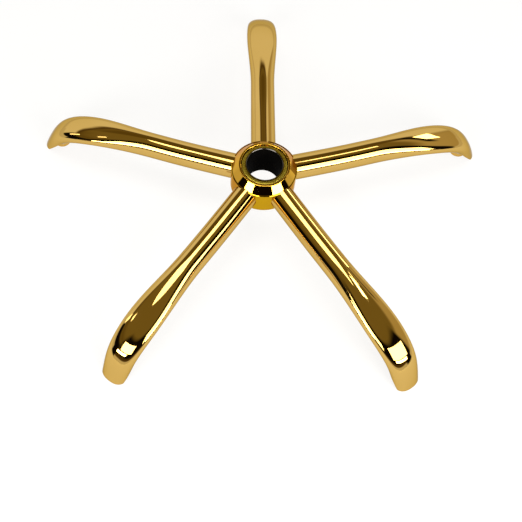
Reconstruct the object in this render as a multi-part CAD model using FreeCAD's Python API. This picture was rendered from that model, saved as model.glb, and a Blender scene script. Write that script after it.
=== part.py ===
# Office chair five star base: five formed tube legs round a hub with a tapered bore.
# Millimetres, +Z up. The origin is the centre of the hub's mouth, where the column enters.
# The first leg points along +Y and the others follow at equal angles.
import FreeCAD
import Part
import math
import os

# Hub sleeve, a cone that the column's lower end wedges into, standing out a little below
column_mouth_radius = 25.0
column_taper = 1.0 / 20.0
sleeve_wall = 2.0
sleeve_mouth_bevel = 0.6
sleeve_tail = 5.0

# Core tube round the sleeve, with its top edge set below the mouth
core_wall = 4.5
core_recess = 1.3
core_edge_round = 0.9

# Outer barrel, a hollow's width from the core, and the ring that closes it below
hollow_width = 11.1
barrel_wall = 3.4
barrel_edge_bevel = 0.7
barrel_skirt = 1.6
bottom_ring_thickness = 2.0

# Conical cap ring, from near the core out to near the barrel's skin
cap_gap = 1.0
cap_lip_width = 3.1
cap_lip_round = 1.1
cap_set_back = 1.8
cap_height = 10.4
cap_wall = 2.2

# Legs: round tube, pressed to a flat spoon and bent down at the end
leg_count = 5
tube_radius = 17.75
tube_wall = 2.0
tube_squareness = 2.0
spoon_half_width = 23.5
spoon_half_depth = 12.0
tip_half_width = 18.6
tip_half_depth = 14.0
spoon_squareness = 2.4

# How far a tube's top would stand above the cap's lower edge at the root of its line
leg_rise = 3.75

# Caster stem sockets, upright in the bent ends
socket_reach = 320.0
socket_radius = 12.5
socket_stand_out = 10.5
socket_edge_round = 1.0
stem_bore_radius = 5.6
stem_bore_depth = 24.0
stem_bore_bevel = 0.8

# Centre line of a leg near the hub, as reach from the hub axis and fall below the root
root_line = [
    (20.0, 0.0),
    (70.0, 6.0),
    (120.0, 11.0),
]

# Centre line near the spoon, as reach past the socket's axis and fall below the root
spoon_line = [
    (-116.0, 16.1),
    (-54.0, 25.0),
    (-7.2, 50.0),
    (4.4, 68.6),
    (18.0, 101.6),
]

# How far before the socket's axis the tube starts to flatten and the spoon is widest
flatten_lead = 174.0
widest_lead = 67.0

# Open mouth of a leg's bent end: a slope that crosses the socket's axis this far below
# the root, and a level rim at the lowest point
mouth_fall = 64.1
mouth_slope = 48.0
rim_fall = 82.6
mouth_clearance = 4.5
mouth_corner_round = 5.0

# Web plates that hold the sockets in the mouths
web_thickness = 2.5
web_recess = 5.0

# Fineness of the leg's skin
section_points = 24
straight_sections = 5
flatten_sections = 6
bend_sections = 8

up = FreeCAD.Vector(0, 0, 1)
center = FreeCAD.Vector(0, 0, 0)

# Places that follow from the sizes above
sleeve_outer_radius = column_mouth_radius + sleeve_wall
core_outer_radius = sleeve_outer_radius + core_wall
barrel_inner_radius = core_outer_radius + hollow_width
barrel_radius = barrel_inner_radius + barrel_wall
cap_inner_radius = core_outer_radius + cap_gap
cap_edge_radius = barrel_radius - cap_set_back
cap_bottom = -cap_height
hub_height = cap_height + 2 * tube_radius + barrel_skirt
hub_bottom = -hub_height
sleeve_bottom = hub_bottom - sleeve_tail
root_height = cap_bottom - tube_radius + leg_rise
leg_line = [(reach, root_height - fall) for reach, fall in root_line]
leg_line += [(socket_reach + past, root_height - fall) for past, fall in spoon_line]
flatten_start = socket_reach - flatten_lead
flatten_end = socket_reach - widest_lead
mouth_height = root_height - mouth_fall
rim_height = root_height - rim_fall
socket_bottom = mouth_height - socket_stand_out
mouth_back_reach = socket_reach - socket_radius - mouth_clearance


def revolve(points):
    """Turn a closed outline of (radius, height) points round the hub axis."""
    corners = [FreeCAD.Vector(radius, 0, height) for radius, height in points]
    outline = Part.makePolygon(corners + corners[:1])
    return Part.Face(outline).revolve(center, up, 360)


def round_rims(shape, rims, fillet):
    """Round the circular edges found at the given (radius, height) places."""
    chosen = []
    for edge in shape.Edges:
        start = edge.Vertexes[0].Point
        radius = math.hypot(start.x, start.y)
        if any(abs(radius - rim[0]) < 0.01 and abs(start.z - rim[1]) < 0.01 for rim in rims):
            if edge.Curve.TypeId == "Part::GeomCircle":
                chosen.append(edge)
    return shape.makeFillet(fillet, chosen)


def blend(start, end, share):
    """Ease from one size to another, level at both ends."""
    share = min(max(share, 0.0), 1.0)
    return start + (end - start) * share * share * (3 - 2 * share)


def leg_section(line, distance, inset):
    """Closed section of a leg along +Y, square to its centre line at a distance along it."""
    place = line.parameterAtDistance(distance, line.FirstParameter)
    middle = line.value(place)
    along = line.tangent(place)[0]
    flat = (distance - flatten_start) / (flatten_end - flatten_start)
    half_width = blend(tube_radius, spoon_half_width, flat)
    half_depth = blend(tube_radius, spoon_half_depth, flat)
    if flat > 1:
        tip = (distance - flatten_end) / (line.length() - flatten_end)
        half_width = blend(spoon_half_width, tip_half_width, tip)
        half_depth = blend(spoon_half_depth, tip_half_depth, tip)
    half_width -= inset
    half_depth -= inset
    squareness = blend(tube_squareness, spoon_squareness, flat)
    points = []
    for index in range(section_points):
        angle = 2 * math.pi * index / section_points
        power = 2 / squareness if math.sin(angle) > 0 else 1.0
        across = half_width * math.copysign(abs(math.cos(angle)) ** power, math.cos(angle))
        depth = half_depth * math.copysign(abs(math.sin(angle)) ** power, math.sin(angle))
        points.append(
            FreeCAD.Vector(across, middle.y - depth * along.z, middle.z + depth * along.y)
        )
    curve = Part.BSplineCurve()
    steps = [float(index) for index in range(section_points + 1)]
    curve.interpolate(Points=points, PeriodicFlag=True, Parameters=steps)
    return Part.Wire(curve.toShape())


def leg_body(inset):
    """Solid inside the formed tube's skin, moved inwards by inset."""
    line = Part.BSplineCurve()
    line.interpolate([FreeCAD.Vector(0, reach, height) for reach, height in leg_line])
    total = line.length()
    distances = [flatten_start * index / straight_sections for index in range(straight_sections)]
    for index in range(flatten_sections):
        distances.append(flatten_start + (flatten_end - flatten_start) * index / flatten_sections)
    for index in range(bend_sections + 1):
        distances.append(flatten_end + (total - flatten_end) * index / bend_sections)
    return Part.makeLoft([leg_section(line, distance, inset) for distance in distances], True)


def mouth_height_at(reach, lift):
    """Height of the mouth's slope at a reach, after a move of lift along its normal."""
    slope = math.radians(mouth_slope)
    return mouth_height - (reach - socket_reach) * math.tan(slope) + lift / math.cos(slope)


def below_mouth(lift, back_reach):
    """Block under the mouth's slope, from an upright back face outwards."""
    level = rim_height + lift
    level_reach = socket_reach + (mouth_height_at(socket_reach, lift) - level) / math.tan(
        math.radians(mouth_slope)
    )
    outer_reach = 2 * socket_reach
    floor_height = 2 * rim_height
    corners = [
        (back_reach, floor_height),
        (back_reach, mouth_height_at(back_reach, lift)),
        (level_reach, level),
        (outer_reach, level),
        (outer_reach, floor_height),
    ]
    half_span = 2 * spoon_half_width
    points = [FreeCAD.Vector(-half_span, reach, height) for reach, height in corners]
    face = Part.Face(Part.makePolygon(points + points[:1]))
    return face.extrude(FreeCAD.Vector(2 * half_span, 0, 0))


def upright_cylinder(radius, bottom, height):
    """Cylinder on the caster stem's axis."""
    return Part.makeCylinder(radius, height, FreeCAD.Vector(0, socket_reach, bottom), up)


def largest_solid(shape):
    return max(shape.Solids, key=lambda solid: solid.Volume)


def lowest_solid(shape):
    return min(shape.Solids, key=lambda solid: solid.CenterOfMass.z)


# Hub sleeve
column_bottom_radius = column_mouth_radius + sleeve_bottom * column_taper / 2
bevel_radius = column_mouth_radius - sleeve_mouth_bevel * column_taper / 2
taper_sleeve = revolve([
    (column_mouth_radius + sleeve_mouth_bevel, 0),
    (sleeve_outer_radius, 0),
    (sleeve_outer_radius, sleeve_bottom),
    (column_bottom_radius, sleeve_bottom),
    (bevel_radius, -sleeve_mouth_bevel),
])

# Hub core
hub_core = revolve([
    (sleeve_outer_radius, -core_recess),
    (core_outer_radius, -core_recess),
    (core_outer_radius, hub_bottom),
    (sleeve_outer_radius, hub_bottom),
])
hub_core = round_rims(hub_core, [(core_outer_radius, -core_recess)], core_edge_round)

# Cap ring, a cone of even wall with a flat lip round its top
cap_lip_radius = cap_inner_radius + cap_lip_width
cap_slope = math.atan2(cap_height, cap_edge_radius - cap_lip_radius)
cap_inner_edge = cap_edge_radius - cap_wall / math.sin(cap_slope)
cap_inner_lip = cap_inner_edge - (cap_height - cap_wall) / math.tan(cap_slope)
cap_ring = revolve([
    (cap_inner_radius, 0),
    (cap_lip_radius, 0),
    (cap_edge_radius, cap_bottom),
    (cap_inner_edge, cap_bottom),
    (cap_inner_lip, -cap_wall),
    (cap_inner_radius, -cap_wall),
])
cap_ring = round_rims(cap_ring, [(cap_inner_radius, 0), (cap_lip_radius, 0)], cap_lip_round)

# Barrel and bottom ring
barrel = revolve([
    (barrel_inner_radius, cap_bottom),
    (barrel_radius - barrel_edge_bevel, cap_bottom),
    (barrel_radius, cap_bottom - barrel_edge_bevel),
    (barrel_radius, hub_bottom + barrel_edge_bevel),
    (barrel_radius - barrel_edge_bevel, hub_bottom),
    (barrel_inner_radius, hub_bottom),
])
bottom_ring = revolve([
    (core_outer_radius, hub_bottom + bottom_ring_thickness),
    (barrel_inner_radius, hub_bottom + bottom_ring_thickness),
    (barrel_inner_radius, hub_bottom),
    (core_outer_radius, hub_bottom),
])

# Leg along +Y: thin wall, coped to the core and open at its bent end
leg_outside = leg_body(0)
leg_inside = leg_body(tube_wall)
core_cylinder = Part.makeCylinder(core_outer_radius, 3 * hub_height, center, -up)
mouth_cut = below_mouth(0, mouth_back_reach)
ridge = [
    edge for edge in mouth_cut.Edges
    if abs(edge.CenterOfMass.y - mouth_back_reach) < 0.01
    and abs(edge.CenterOfMass.z - mouth_height_at(mouth_back_reach, 0)) < 0.01
]
mouth_cut = mouth_cut.makeFillet(mouth_corner_round, ridge)
leg = largest_solid(leg_outside.cut(leg_inside).cut(core_cylinder).cut(mouth_cut))

# Socket, coped to the inside of the bent end, with a blind bore for the stem
blank = upright_cylinder(socket_radius, socket_bottom, -socket_bottom)
lower_rim = [edge for edge in blank.Edges if abs(edge.CenterOfMass.z - socket_bottom) < 0.01]
blank = blank.makeFillet(socket_edge_round, lower_rim)
socket = lowest_solid(blank.cut(leg))
socket = socket.cut(upright_cylinder(stem_bore_radius, socket_bottom, stem_bore_depth))
socket = socket.cut(Part.makeCone(
    stem_bore_radius + stem_bore_bevel,
    stem_bore_radius,
    stem_bore_bevel,
    FreeCAD.Vector(0, socket_reach, socket_bottom),
    up,
))

# Web plate, level with the mouth's slope and set in from it
slab = below_mouth(web_recess + web_thickness, mouth_back_reach)
slab = slab.cut(below_mouth(web_recess, mouth_back_reach - mouth_clearance))
web = leg_inside.common(slab)
web = largest_solid(web.cut(upright_cylinder(socket_radius, 2 * socket_bottom, -2 * socket_bottom)))

nodes = {
    "taper_sleeve": taper_sleeve,
    "hub_core": hub_core,
    "bottom_ring": bottom_ring,
}
for number in range(leg_count):
    turn = 360.0 * number / leg_count
    leg_space = leg_outside.copy().rotate(center, up, turn)
    barrel = barrel.cut(leg_space)
    cap_ring = cap_ring.cut(leg_space)
    for name, shape in (("leg", leg), ("caster_socket", socket), ("socket_web", web)):
        nodes[name + "_" + str(number + 1)] = shape.copy().rotate(center, up, turn)
nodes["hub_barrel"] = barrel
nodes["cap_ring"] = cap_ring

os.makedirs("parts", exist_ok=True)
for name, shape in nodes.items():
    shape.exportStep("parts/" + name + ".step")
    print(name, len(shape.Solids), "solid,", round(shape.Volume / 1000, 2), "cubic cm")
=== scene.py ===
import math
import bpy
import numpy as np
from mathutils import Matrix, Quaternion, Vector


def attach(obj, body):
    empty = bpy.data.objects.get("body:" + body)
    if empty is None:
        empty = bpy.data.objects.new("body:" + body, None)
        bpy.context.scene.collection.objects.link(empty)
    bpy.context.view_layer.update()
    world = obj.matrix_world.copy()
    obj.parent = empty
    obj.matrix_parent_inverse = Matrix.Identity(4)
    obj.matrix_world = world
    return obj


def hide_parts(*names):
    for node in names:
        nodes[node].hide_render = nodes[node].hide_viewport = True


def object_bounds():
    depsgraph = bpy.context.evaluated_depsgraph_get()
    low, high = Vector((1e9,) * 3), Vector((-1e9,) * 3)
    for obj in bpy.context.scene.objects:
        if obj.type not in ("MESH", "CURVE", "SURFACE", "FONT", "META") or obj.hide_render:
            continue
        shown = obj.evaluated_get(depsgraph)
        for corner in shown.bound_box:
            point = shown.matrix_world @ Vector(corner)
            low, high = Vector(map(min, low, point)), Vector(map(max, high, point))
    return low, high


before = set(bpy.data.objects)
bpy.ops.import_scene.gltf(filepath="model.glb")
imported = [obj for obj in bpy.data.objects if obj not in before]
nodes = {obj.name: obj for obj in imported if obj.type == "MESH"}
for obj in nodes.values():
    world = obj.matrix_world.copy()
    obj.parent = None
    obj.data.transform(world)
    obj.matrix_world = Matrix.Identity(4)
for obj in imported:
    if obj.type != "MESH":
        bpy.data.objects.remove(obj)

# Gold plated five star base: fine skins over the CAD legs, plating on every piece, soft studio
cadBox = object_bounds()
mm = 0.001


def hexToLinear(code):  # "#RRGGBB" as written in sRGB, to the linear colour that shaders take
    srgb = np.array([int(code[place:place + 2], 16) for place in (1, 3, 5)]) / 255
    linear = np.where(srgb <= 0.04045, srgb / 12.92, ((srgb + 0.055) / 1.055) ** 2.4)
    return (*linear.tolist(), 1.0)


def addNode(tree, kind, settings=None, links=None):  # one node, its sockets set by name or number
    node = tree.nodes.new(kind)
    for name, value in (settings or {}).items():
        if isinstance(name, int) or name in node.inputs:
            node.inputs[name].default_value = value
        else:
            setattr(node, name, value)
    for name, source in (links or {}).items():
        tree.links.new(source, node.inputs[name])
    return node


def newMaterial(name):  # an empty material, and its node tree
    material = bpy.data.materials.new(name)
    material.use_nodes = True
    material.node_tree.nodes.clear()
    return material, material.node_tree


# Camera, at the photograph's view
view = {
    # the point in front of the hub, and a little over its mouth's plane, that the lens looks at
    "target": (-54.71 * mm, -152.37 * mm, 5.0 * mm),
    "distance": 985.41 * mm,
    "elevation": 64.2,  # degrees
    "turn": -0.64,  # degrees about +Z, the base sits a little askew to the picture
    "roll": 1.98,  # degrees, the picture's own tilt
    "lens": 53.07,
    "shiftX": 0.0757,  # moves the base to its place across the picture
    "nearClip": 0.05,
    "farClip": 50.0,
}


def makeCamera():
    data = bpy.data.cameras.new("camera")
    data.lens = view["lens"]
    data.shift_x = view["shiftX"]
    data.clip_start = view["nearClip"]
    data.clip_end = view["farClip"]
    camera = bpy.data.objects.new("camera", data)
    bpy.context.scene.collection.objects.link(camera)
    rise = math.radians(view["elevation"])
    roll = math.radians(view["roll"])
    turn = Matrix.Rotation(math.radians(view["turn"]), 3, "Z")
    back = Vector((0, -math.cos(rise), math.sin(rise)))
    right = Vector((1, 0, 0))
    upward = back.cross(right)
    rolledRight = right * math.cos(roll) + upward * math.sin(roll)
    rolledUp = upward * math.cos(roll) - right * math.sin(roll)
    place = turn @ (Vector(view["target"]) + back * view["distance"])
    axes = Matrix((turn @ rolledRight, turn @ rolledUp, turn @ back)).transposed()
    camera.matrix_world = Matrix.Translation(place) @ axes.to_4x4()
    bpy.context.scene.camera = camera


makeCamera()
print("camera placed")


# Studio: pale floor, soft boxes overhead and in front, a pale backdrop and a darker room
studio = {
    "floorSize": 14.0,
    "floorColor": "#FCFCFB",
    "floorGlow": 0.8,  # share of plain white that eye, metal and glass see there, the rest is lit paper
    "aim": (0.0, -0.05, -0.045),  # the point that every box faces
    # for each box the side it stands on in degrees from the front, plus to the right, its elevation,
    # its distance, width and height in metres, its turn in degrees, and its radiance
    "boxes": {
        "overhead": (-138.6, 79.0, 1.752, 1.00, 0.70, 138.6, 3.6),
        "frontLeft": (-33.0, 32.0, 1.85, 1.25, 0.54, 0.0, 5.5),
        "frontRight": (45.0, 32.0, 1.85, 1.50, 0.74, -10.0, 5.0),
        "frontLeftStrip": (-45.6, 18.5, 1.90, 0.81, 0.15, 9.7, 18.0),
        "frontRightStrip": (43.9, 16.5, 1.90, 1.07, 0.15, -11.8, 18.0),
        "backRight": (135.0, 29.0, 1.95, 0.30, 0.26, 0.0, 5.0),
        "highRight": (105.0, 66.0, 1.90, 0.30, 0.22, 0.0, 7.0),
        "highBack": (118.0, 58.8, 1.90, 0.20, 0.11, 0.0, 3.2),
        "lowLeft": (-104.0, 27.0, 1.90, 0.14, 0.40, 0.0, 3.0),
        "highLeft": (-94.0, 46.0, 1.90, 0.14, 0.14, 0.0, 3.0),
    },
    "wattsPerArea": 4,  # a box's watts for each square metre and unit of radiance
    "ceiling": "#857748",
    "paperWhite": "#FFFFFF",
    "pale": "#E8E6E4",
    "warm": "#C9BC9A",
    "dim": "#6A5A2C",
    "brown": "#5A4826",
    "dark": "#120D08",
    # the room beyond the boxes, each patch over those before it: its colour, the sides and the
    # elevations that it covers in degrees, and the width of its soft edge
    "patches": [
        ("dim", (-125, 125), (34, 42), 16),
        ("dark", (-62, 85), (9, 56), 10),
        ("brown", (-62, 60), (6, 15), 6),
        ("dark", (-112, -60), (9, 31), 8),
        ("paperWhite", (150, 248), (0, 34), 5),
        ("paperWhite", (150, 215), (-90, 20), 24),
        ("brown", (155, 248), (35.5, 38.5), 4),
        ("dim", (140, 225), (41, 62), 8),
        ("warm", (85, 142), (0, 48), 10),
        ("paperWhite", (142, 182), (0, 34), 6),
        ("dark", (120, 150), (36, 42), 5),
        ("pale", (-190, 190), (-95, 6.5), 4),
        ("pale", (-130, -80), (-5, 11.5), 3),
        ("dark", (-80, -60), (1.5, 14), 3),
        ("pale", (77, 130), (-5, 9), 3),
        ("dark", (58, 77), (1.5, 13), 3),
    ],
}


def makeFloor():  # matt paper, as white as an overexposed sheet, with the base's shadow left in
    half = studio["floorSize"] / 2
    height = cadBox[0][2]  # level with the lowest edge of the legs
    quarters = ((-1, -1), (1, -1), (1, 1), (-1, 1))
    corners = [(across * half, along * half, height) for across, along in quarters]
    mesh = bpy.data.meshes.new("studio_floor")
    mesh.from_pydata(corners, [], [(0, 1, 2, 3)])
    floor = bpy.data.objects.new("studio_floor", mesh)
    bpy.context.scene.collection.objects.link(floor)
    material, tree = newMaterial("matt paper floor")
    paper = addNode(tree, "ShaderNodeBsdfDiffuse", {"Color": hexToLinear(studio["floorColor"])})
    glow = addNode(tree, "ShaderNodeEmission", {"Color": (1, 1, 1, 1), "Strength": 1.0})
    path = addNode(tree, "ShaderNodeLightPath").outputs
    seen = path["Is Camera Ray"]
    for ray in ("Is Glossy Ray", "Is Transmission Ray"):
        either = addNode(tree, "ShaderNodeMath", {"operation": "MAXIMUM"}, {0: seen, 1: path[ray]})
        seen = either.outputs[0]
    share = addNode(
        tree,
        "ShaderNodeMath",
        {"operation": "MULTIPLY", 1: studio["floorGlow"]},
        {0: seen},
    )
    both = addNode(
        tree,
        "ShaderNodeMixShader",
        links={0: share.outputs[0], 1: paper.outputs["BSDF"], 2: glow.outputs["Emission"]},
    )
    addNode(tree, "ShaderNodeOutputMaterial", links={"Surface": both.outputs["Shader"]})
    mesh.materials.append(material)


def makeBoxes():  # lamps on a dome round the aim, each turned about the line that joins it to the aim
    aim = Vector(studio["aim"])
    for name, (side, rise, distance, width, height, turn, radiance) in studio["boxes"].items():
        side, rise, turn = math.radians(side), math.radians(rise), math.radians(turn)
        rightward = math.sin(side) * math.cos(rise)
        backward = -math.cos(side) * math.cos(rise)
        toBox = Vector((rightward, backward, math.sin(rise)))
        data = bpy.data.lights.new(name, "AREA")
        data.shape = "RECTANGLE"
        data.size = width
        data.size_y = height
        data.energy = studio["wattsPerArea"] * radiance * width * height
        lamp = bpy.data.objects.new(name, data)
        bpy.context.scene.collection.objects.link(lamp)
        lamp.location = aim + toBox * distance
        lamp.rotation_mode = "QUATERNION"
        lamp.rotation_quaternion = Quaternion(toBox, turn) @ (-toBox).to_track_quat("-Z", "Y")


def makeRoom():  # what the mirror sees beyond the soft boxes, painted by direction on the world
    world = bpy.data.worlds.new("studio room")
    bpy.context.scene.world = world
    world.use_nodes = True
    tree = world.node_tree
    tree.nodes.clear()
    place = addNode(tree, "ShaderNodeTexCoord").outputs["Generated"]
    parts = addNode(tree, "ShaderNodeSeparateXYZ", links={0: place}).outputs
    forward = addNode(tree, "ShaderNodeMath", {"operation": "MULTIPLY", 1: -1.0}, {0: parts["Y"]})
    side = addNode(
        tree,
        "ShaderNodeMath",
        {"operation": "ARCTAN2"},
        {0: parts["X"], 1: forward.outputs[0]},
    ).outputs[0]
    rise = addNode(tree, "ShaderNodeMath", {"operation": "ARCSINE"}, {0: parts["Z"]}).outputs[0]
    color = addNode(tree, "ShaderNodeRGB").outputs[0]
    color.default_value = hexToLinear(studio["ceiling"])
    for name, sides, rises, soft in studio["patches"]:
        # A patch covers by the product of two soft steps, one in side and one in elevation. Each
        # falls from 1 to 0 across the patch's edge.
        cover = None
        for angle, limits in ((side, sides), (rise, rises)):
            middle = math.radians(limits[0] + limits[1]) / 2
            half = math.radians(limits[1] - limits[0]) / 2
            edge = math.radians(soft) / 2
            offset = addNode(tree, "ShaderNodeMath", {"operation": "SUBTRACT", 1: middle}, {0: angle})
            wrapped = addNode(
                tree,
                "ShaderNodeMath",
                {"operation": "WRAP", 1: math.pi, 2: -math.pi},
                {0: offset.outputs[0]},
            )
            away = addNode(tree, "ShaderNodeMath", {"operation": "ABSOLUTE"}, {0: wrapped.outputs[0]})
            inside = addNode(
                tree,
                "ShaderNodeMapRange",
                {"interpolation_type": "SMOOTHSTEP", "From Min": half + edge, "From Max": half - edge},
                {"Value": away.outputs[0]},
            )
            if cover:
                inside = addNode(
                    tree,
                    "ShaderNodeMath",
                    {"operation": "MULTIPLY"},
                    {0: cover.outputs[0], 1: inside.outputs[0]},
                )
            cover = inside
        layer = addNode(
            tree,
            "ShaderNodeMix",
            {"data_type": "RGBA", 7: hexToLinear(studio[name])},
            {0: cover.outputs[0], 6: color},
        )
        color = layer.outputs[2]
    light = addNode(tree, "ShaderNodeBackground", {"Strength": 1.0}, {"Color": color})
    addNode(tree, "ShaderNodeOutputWorld", links={"Surface": light.outputs["Background"]})


makeFloor()
makeBoxes()
makeRoom()
bpy.context.scene.view_settings.view_transform = "Standard"
print("studio lit")


# Plating: the colour drifts between deep and pale, edge is the tint of what it mirrors at a
# grazing angle, and lacquer is the weight of the clear coat over it
gold = {
    "leg": {  # buffed tube, a clear and rather pale mirror
        "name": "gold plated polished tube", "deep": "#CAA34E", "pale": "#D6B060", "edge": "#BCAD89",
        "roughness": 0.03, "lacquer": 0.3,
    },
    "cap": {  # finely turned cone, the clearest mirror and a deeper yellow
        "name": "gold plated turned cap", "deep": "#CC9A22", "pale": "#D6A428", "edge": "#DDB050",
        "roughness": 0.02, "lacquer": 0.45,
    },
    "hub": {  # turned barrel, deep yellow
        "name": "gold plated turned hub", "deep": "#C09820", "pale": "#C8A026", "edge": "#DDB050",
        "roughness": 0.035, "lacquer": 0.1,
    },
    "core": {  # left as the lathe cut it, a greenish satin that mirrors nothing clearly
        "name": "gold plated satin core", "deep": "#C8B440", "pale": "#D4C04C", "edge": "#E0C878",
        "roughness": 0.22, "lacquer": 0.0,
    },
    "socket": {  # plated without buffing, a dull mirror
        "name": "gold plated socket", "deep": "#C89C46", "pale": "#D6AC56", "edge": "#E6C98C",
        "roughness": 0.14, "lacquer": 0.3,
    },
}
plating = {
    # noise patterns, each with its size and detail
    "patterns": {
        "drift": (70 * mm, 2.0),  # the tint's slow change
        "ripple": (22 * mm, 1.0),  # left by pressing
        "peel": (1.7 * mm, 2.0),  # fine texture under the mirror, drawn coarser than real to show
        "smear": (17 * mm, 5.0),  # where cloth marks dull the mirror a little
    },
    "rippleDepth": 0.012 * mm,
    "peelDepth": 0.0006 * mm,
    "smearStart": 0.45,  # the noise at which a mark begins, and at which it is full
    "smearFull": 0.75,
    "smearRoughness": 0.035,
    "lacquerRoughness": 0.03,
}


def goldPlating(kind):  # electroplated gold over steel: a mirror, warm where it reflects dark
    recipe = gold[kind]
    material, tree = newMaterial(recipe["name"])
    place = addNode(tree, "ShaderNodeTexCoord").outputs["Object"]
    noise = {}
    for pattern, (size, detail) in plating["patterns"].items():
        texture = addNode(
            tree,
            "ShaderNodeTexNoise",
            {"Scale": 1 / size, "Detail": detail},
            {"Vector": place},
        )
        noise[pattern] = texture.outputs["Fac"]
    tint = addNode(
        tree,
        "ShaderNodeMix",
        {"data_type": "RGBA", 6: hexToLinear(recipe["deep"]), 7: hexToLinear(recipe["pale"])},
        {0: noise["drift"]},
    )
    rough = addNode(
        tree,
        "ShaderNodeMapRange",
        {
            "From Min": plating["smearStart"],
            "From Max": plating["smearFull"],
            "To Min": recipe["roughness"],
            "To Max": recipe["roughness"] + plating["smearRoughness"],
        },
        {"Value": noise["smear"]},
    )
    longBump = addNode(
        tree,
        "ShaderNodeBump",
        {"Distance": plating["rippleDepth"]},
        {"Height": noise["ripple"]},
    )
    fineBump = addNode(
        tree,
        "ShaderNodeBump",
        {"Distance": plating["peelDepth"]},
        {"Height": noise["peel"], "Normal": longBump.outputs["Normal"]},
    )
    shader = addNode(
        tree,
        "ShaderNodeBsdfPrincipled",
        {
            "Metallic": 1.0,
            "Specular Tint": hexToLinear(recipe["edge"]),
            "Coat Weight": recipe["lacquer"],
            "Coat Roughness": plating["lacquerRoughness"],
        },
        {
            "Base Color": tint.outputs[2],
            "Roughness": rough.outputs["Result"],
            "Normal": fineBump.outputs["Normal"],
        },
    )
    addNode(tree, "ShaderNodeOutputMaterial", links={"Surface": shader.outputs["BSDF"]})
    return material


# Black oxide of the hub's sleeve
sleeve = {
    "oxide": "#050403",
    "oiled": "#0C0A08",
    "cloud": (11 * mm, 4.0),  # size and detail of the drift from dry oxide to oiled
    "overspray": "#9A8420",  # plating carried over onto the sleeve's flat top
    "bare": "#66615A",
    "rimRadius": 25.8 * mm,  # inside this the mouth's bevel has worn to steel
    "rimBlend": 0.1 * mm,
    "rimDepth": 0.7 * mm,
    "topDepth": 0.2 * mm,
    "ringSpacing": 0.5 * mm,  # lines left by turning, drawn coarser than real to show
    "ringDepth": 0.004 * mm,
    "oxideRoughness": 0.5,
    "metalRoughness": 0.16,
    "oxideShine": 0.004,  # specular level: the oxide swallows light, also at a grazing angle
}


def blackOxide():  # turned and blackened steel: matt and dark, gold on top and worn bright at the mouth
    material, tree = newMaterial("black oxide turned steel")
    place = addNode(tree, "ShaderNodeTexCoord").outputs["Object"]
    height = addNode(tree, "ShaderNodeSeparateXYZ", links={0: place}).outputs["Z"]
    flat = addNode(
        tree,
        "ShaderNodeVectorMath",
        {"operation": "MULTIPLY", 1: (1.0, 1.0, 0.0)},
        {0: place},
    )
    radius = addNode(tree, "ShaderNodeVectorMath", {"operation": "LENGTH"}, {0: flat.outputs[0]})
    nearRim = addNode(
        tree,
        "ShaderNodeMapRange",
        {"From Min": sleeve["rimRadius"] + sleeve["rimBlend"], "From Max": sleeve["rimRadius"]},
        {"Value": radius.outputs["Value"]},
    )
    above = {}
    for name in ("rimDepth", "topDepth"):  # 1 down to half the depth, and 0 below the whole of it
        depth = sleeve[name]
        share = addNode(
            tree,
            "ShaderNodeMapRange",
            {"From Min": -depth, "From Max": -depth / 2},
            {"Value": height},
        )
        above[name] = share.outputs[0]
    onTop = above["topDepth"]
    worn = addNode(
        tree,
        "ShaderNodeMath",
        {"operation": "MULTIPLY"},
        {0: nearRim.outputs[0], 1: above["rimDepth"]},
    ).outputs[0]
    bright = addNode(tree, "ShaderNodeMath", {"operation": "MAXIMUM"}, {0: worn, 1: onTop}).outputs[0]
    size, detail = sleeve["cloud"]
    cloud = addNode(
        tree,
        "ShaderNodeTexNoise",
        {"Scale": 1 / size, "Detail": detail},
        {"Vector": place},
    )
    color = addNode(
        tree,
        "ShaderNodeMix",
        {"data_type": "RGBA", 6: hexToLinear(sleeve["oxide"]), 7: hexToLinear(sleeve["oiled"])},
        {0: cloud.outputs["Fac"]},
    )
    for name, share in (("overspray", onTop), ("bare", worn)):
        color = addNode(
            tree,
            "ShaderNodeMix",
            {"data_type": "RGBA", 7: hexToLinear(sleeve[name])},
            {0: share, 6: color.outputs[2]},
        )
    rough = addNode(
        tree,
        "ShaderNodeMapRange",
        {"To Min": sleeve["oxideRoughness"], "To Max": sleeve["metalRoughness"]},
        {"Value": bright},
    )
    rings = addNode(
        tree,
        "ShaderNodeMath",
        {"operation": "MULTIPLY", 1: 2 * math.pi / sleeve["ringSpacing"]},
        {0: height},
    )
    groove = addNode(tree, "ShaderNodeMath", {"operation": "SINE"}, {0: rings.outputs[0]})
    bump = addNode(
        tree,
        "ShaderNodeBump",
        {"Distance": sleeve["ringDepth"]},
        {"Height": groove.outputs[0]},
    )
    shader = addNode(
        tree,
        "ShaderNodeBsdfPrincipled",
        {"Specular IOR Level": sleeve["oxideShine"]},
        {
            "Base Color": color.outputs[2],
            "Metallic": bright,
            "Roughness": rough.outputs["Result"],
            "Normal": bump.outputs["Normal"],
        },
    )
    addNode(tree, "ShaderNodeOutputMaterial", links={"Surface": shader.outputs["BSDF"]})
    return material


finishes = {kind: goldPlating(kind) for kind in gold}
finishes["sleeve"] = blackOxide()
print("finishes made")


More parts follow.
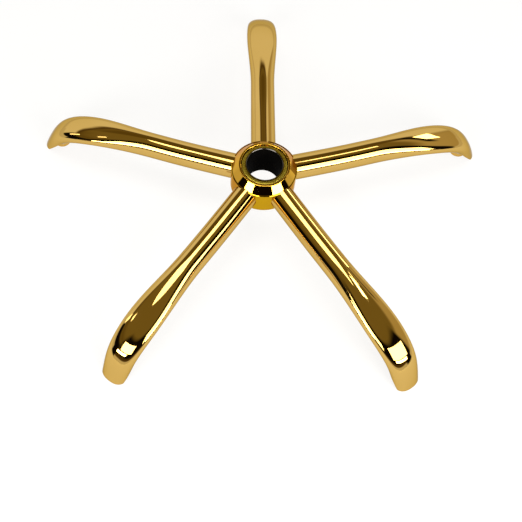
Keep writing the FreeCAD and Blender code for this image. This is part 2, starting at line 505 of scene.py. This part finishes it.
# Legs: the CAD leg's own formula on a fine grid, so that the mirror has no facets
leg = {
    # millimetres and degrees, for a leg along +Y
    "count": 5,
    "line": [  # reach and height of the centre line
        (20.0, -24.4), (70.0, -30.4), (120.0, -35.4), (204.0, -40.5),
        (266.0, -49.4), (312.8, -74.4), (324.4, -93.0), (338.0, -126.0),
    ],
    "tubeRadius": 17.75,
    "wall": 2.0,
    "spoonHalfWidth": 23.5,
    "spoonHalfDepth": 12.0,
    "tipHalfWidth": 18.6,
    "tipHalfDepth": 14.0,
    "tubeSquareness": 2.0,
    "spoonSquareness": 2.4,
    "flattenStart": 146.0,
    "flattenEnd": 253.0,
    "coreRadius": 31.5,  # the hub's core, where the tube is coped
    "mouthBack": 303.0,
    "mouthReach": 320.0,
    "mouthHeight": -88.5,
    "mouthSlope": 48.0,
    "mouthRound": 5.0,
    "rimHeight": -107.0,
    # the grid's fineness, and the steps by which lengths along the line and the skin's ends are found
    "around": 144,
    "outerRows": 210,
    "innerRows": 70,
    "lineSteps": 4001,
    "rootSpan": 60.0,  # length of line within which all of the skin crosses the core
    "rootSteps": 241,
    "mouthSteps": 601,
    "sharpAngle": 35,
    # rounding of the edges where the wall ends
    "rimAngle": 50,
    "rimRound": 0.45,
    "rimSegments": 2,
}


def smoothLine(points):
    # Cubic spline through the points. Its ends slope like the cubic through the four points there,
    # and inside, the slopes are those at which neighbouring spans bend alike where they meet.
    points = np.array(points)
    knots = np.concatenate([[0], np.cumsum(np.linalg.norm(np.diff(points, axis=0), axis=1))])
    steps = np.diff(knots)
    chords = np.diff(points, axis=0) / steps[:, None]
    system = np.eye(len(points))
    inner = np.arange(1, len(points) - 1)
    system[inner, inner - 1] = steps[1:]
    system[inner, inner] = 2 * (steps[:-1] + steps[1:])
    system[inner, inner + 1] = steps[:-1]
    known = np.zeros((len(points), 2))
    known[1:-1] = 3 * (steps[1:, None] * chords[:-1] + steps[:-1, None] * chords[1:])
    for end, nearest in ((0, slice(0, 4)), (-1, slice(-4, None))):
        for axis in (0, 1):
            cubic = np.polyfit(knots[nearest], points[nearest, axis], 3)
            known[end, axis] = np.polyval(np.polyder(cubic), knots[end])
    return knots, points, np.linalg.solve(system, known)


def alongLine(line, at):  # place and unit direction on the cubic, by Hermite's four blends
    knots, points, slopes = line
    span = np.clip(np.searchsorted(knots, at, side="right") - 1, 0, len(knots) - 2)
    step = (knots[span + 1] - knots[span])[:, None]
    share = (at - knots[span])[:, None] / step
    place = (
        (2 * share**3 - 3 * share**2 + 1) * points[span]
        + (share**3 - 2 * share**2 + share) * step * slopes[span]
        + (3 * share**2 - 2 * share**3) * points[span + 1]
        + (share**3 - share**2) * step * slopes[span + 1]
    )
    slope = (
        (6 * share**2 - 6 * share) / step * (points[span] - points[span + 1])
        + (3 * share**2 - 4 * share + 1) * slopes[span]
        + (3 * share**2 - 2 * share) * slopes[span + 1]
    )
    return place, slope / np.linalg.norm(slope, axis=1)[:, None]


legLine = smoothLine(leg["line"])
lineParameters = np.linspace(0, legLine[0][-1], leg["lineSteps"])
linePlaces = alongLine(legLine, lineParameters)[0]
lineLengths = np.concatenate([[0], np.cumsum(np.linalg.norm(np.diff(linePlaces, axis=0), axis=1))])
lineTotal = lineLengths[-1]


def ease(start, end, share):  # from start to end by three times share squared less twice share cubed
    share = np.clip(share, 0, 1)
    return start + (end - start) * share * share * (3 - 2 * share)


def legSkin(distance, angle, inset):
    # At a distance along the line the section is square to it. Across is half width times cos, and
    # depth is half depth times sin, both raised to 2 / squareness on the upper half.
    distance, angle = np.broadcast_arrays(distance, angle)
    shape = distance.shape
    distance, angle = distance.ravel(), angle.ravel()
    middle, along = alongLine(legLine, np.interp(distance, lineLengths, lineParameters))
    flat = (distance - leg["flattenStart"]) / (leg["flattenEnd"] - leg["flattenStart"])
    tip = (distance - leg["flattenEnd"]) / (lineTotal - leg["flattenEnd"])
    halfWidth = ease(leg["tubeRadius"], leg["spoonHalfWidth"], flat)
    halfWidth += ease(0, leg["tipHalfWidth"] - leg["spoonHalfWidth"], tip) - inset
    halfDepth = ease(leg["tubeRadius"], leg["spoonHalfDepth"], flat)
    halfDepth += ease(0, leg["tipHalfDepth"] - leg["spoonHalfDepth"], tip) - inset
    squareness = ease(leg["tubeSquareness"], leg["spoonSquareness"], flat)
    power = np.where(np.sin(angle) > 0, 2 / squareness, 1.0)
    across = halfWidth * np.sign(np.cos(angle)) * np.abs(np.cos(angle)) ** power
    depth = halfDepth * np.sign(np.sin(angle)) * np.abs(np.sin(angle)) ** power
    reach = middle[:, 0] - depth * along[:, 1]
    height = middle[:, 1] + depth * along[:, 0]
    return np.stack([across, reach, height], -1).reshape(shape + (3,))


def pastMouth(points):
    # Above nought where the mouth's cut takes the skin away: past an upright face and under a slope,
    # which meet in a rounded ridge, or past that face and under the level rim. The depth in the cut
    # is counted from the nearer face, and in the ridge from its round, by the law of cosines.
    slope = math.radians(leg["mouthSlope"])
    reach, height = points[..., 1], points[..., 2]
    past = reach - leg["mouthBack"]
    under = (leg["mouthHeight"] - height) * math.cos(slope)
    under -= (reach - leg["mouthReach"]) * math.sin(slope)
    radius = leg["mouthRound"]
    first, second = radius - past, radius - under
    cosine = -math.sin(slope)  # of the angle between the two faces' normals
    inRidge = (first > cosine * second) & (second > cosine * first)
    squared = first**2 + second**2 - 2 * cosine * first * second
    ridge = np.sqrt(np.maximum(squared, 0)) / math.cos(slope)
    sloped = radius - np.where(inRidge, ridge, np.maximum(first, second))
    level = np.minimum(past, leg["rimHeight"] - height)
    return np.maximum(sloped, level)


def firstCrossing(distances, values):  # where each column of values first rises past nought
    after = np.argmax(values > 0, axis=0)
    columns = np.arange(values.shape[1])
    low, high = values[after - 1, columns], values[after, columns]
    return distances[after - 1] + (distances[after] - distances[after - 1]) * low / (low - high)


def legRows(inset, count):  # rows of the skin, in even steps from the hub's core to the mouth
    angle = np.arange(leg["around"]) * 2 * math.pi / leg["around"]
    nearRoot = np.linspace(0, leg["rootSpan"], leg["rootSteps"])
    nearMouth = np.linspace(leg["flattenEnd"], lineTotal, leg["mouthSteps"])
    root = legSkin(nearRoot[:, None], angle[None], inset)
    start = firstCrossing(nearRoot, np.hypot(root[..., 0], root[..., 1]) - leg["coreRadius"])
    end = firstCrossing(nearMouth, pastMouth(legSkin(nearMouth[:, None], angle[None], inset)))
    share = np.linspace(0, 1, count)[:, None]
    return legSkin(start + (end - start) * share, angle[None], inset)


def ringMesh(name, rows):
    # Rows of points, closed round each row and from the last row to the first. The sign of the
    # volume that the faces enclose tells whether they point outwards.
    count, around = rows.shape[:2]
    down, across = np.meshgrid(np.arange(count), np.arange(around), indexing="ij")
    nextDown, nextAcross = (down + 1) % count, (across + 1) % around
    quads = np.stack(
        [
            down * around + across,
            nextDown * around + across,
            nextDown * around + nextAcross,
            down * around + nextAcross,
        ],
        -1,
    ).reshape(-1, 4)
    points = rows.reshape(-1, 3)
    corners = points[quads]
    volume = np.einsum("ij,ij->", np.cross(corners[:, 0], corners[:, 1]), corners[:, 2])
    volume += np.einsum("ij,ij->", np.cross(corners[:, 0], corners[:, 2]), corners[:, 3])
    if volume < 0:
        quads = quads[:, ::-1]
    mesh = bpy.data.meshes.new(name)
    mesh.from_pydata(points, [], quads.tolist())
    mesh.polygons.foreach_set("use_smooth", np.ones(len(quads), bool))
    mesh.set_sharp_from_angle(angle=math.radians(leg["sharpAngle"]))
    mesh.update()
    piece = bpy.data.objects.new(name, mesh)
    bpy.context.scene.collection.objects.link(piece)
    return piece


def makeLegs():
    outerSkin = legRows(0.0, leg["outerRows"])
    innerSkin = legRows(leg["wall"], leg["innerRows"])
    shell = np.concatenate([outerSkin, innerSkin[::-1]]) * mm
    for number in range(leg["count"]):
        turn = 2 * math.pi * number / leg["count"]
        turned = np.stack(
            [
                shell[..., 0] * math.cos(turn) - shell[..., 1] * math.sin(turn),
                shell[..., 0] * math.sin(turn) + shell[..., 1] * math.cos(turn),
                shell[..., 2],
            ],
            -1,
        )
        node = "leg_" + str(number + 1)
        piece = ringMesh("plated_" + node, turned)
        piece.data.materials.append(finishes["leg"])
        bevel = piece.modifiers.new("rim", "BEVEL")
        bevel.width = leg["rimRound"] * mm
        bevel.segments = leg["rimSegments"]
        bevel.limit_method = "ANGLE"
        bevel.angle_limit = math.radians(leg["rimAngle"])
        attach(piece, "root")
        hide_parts(node)


makeLegs()
print("legs formed")


# Finishes on the CAD nodes that stay
nodeFinishes = {
    "taper_sleeve": "sleeve",
    "hub_core": "core",
    "cap_ring": "cap",
    "hub_barrel": "hub",
    "bottom_ring": "hub",
}
for number in range(leg["count"]):
    nodeFinishes["caster_socket_" + str(number + 1)] = "socket"
    nodeFinishes["socket_web_" + str(number + 1)] = "socket"
for name, kind in nodeFinishes.items():
    for slot in nodes[name].material_slots:
        slot.material = finishes[kind]
print("hub and sockets finished")
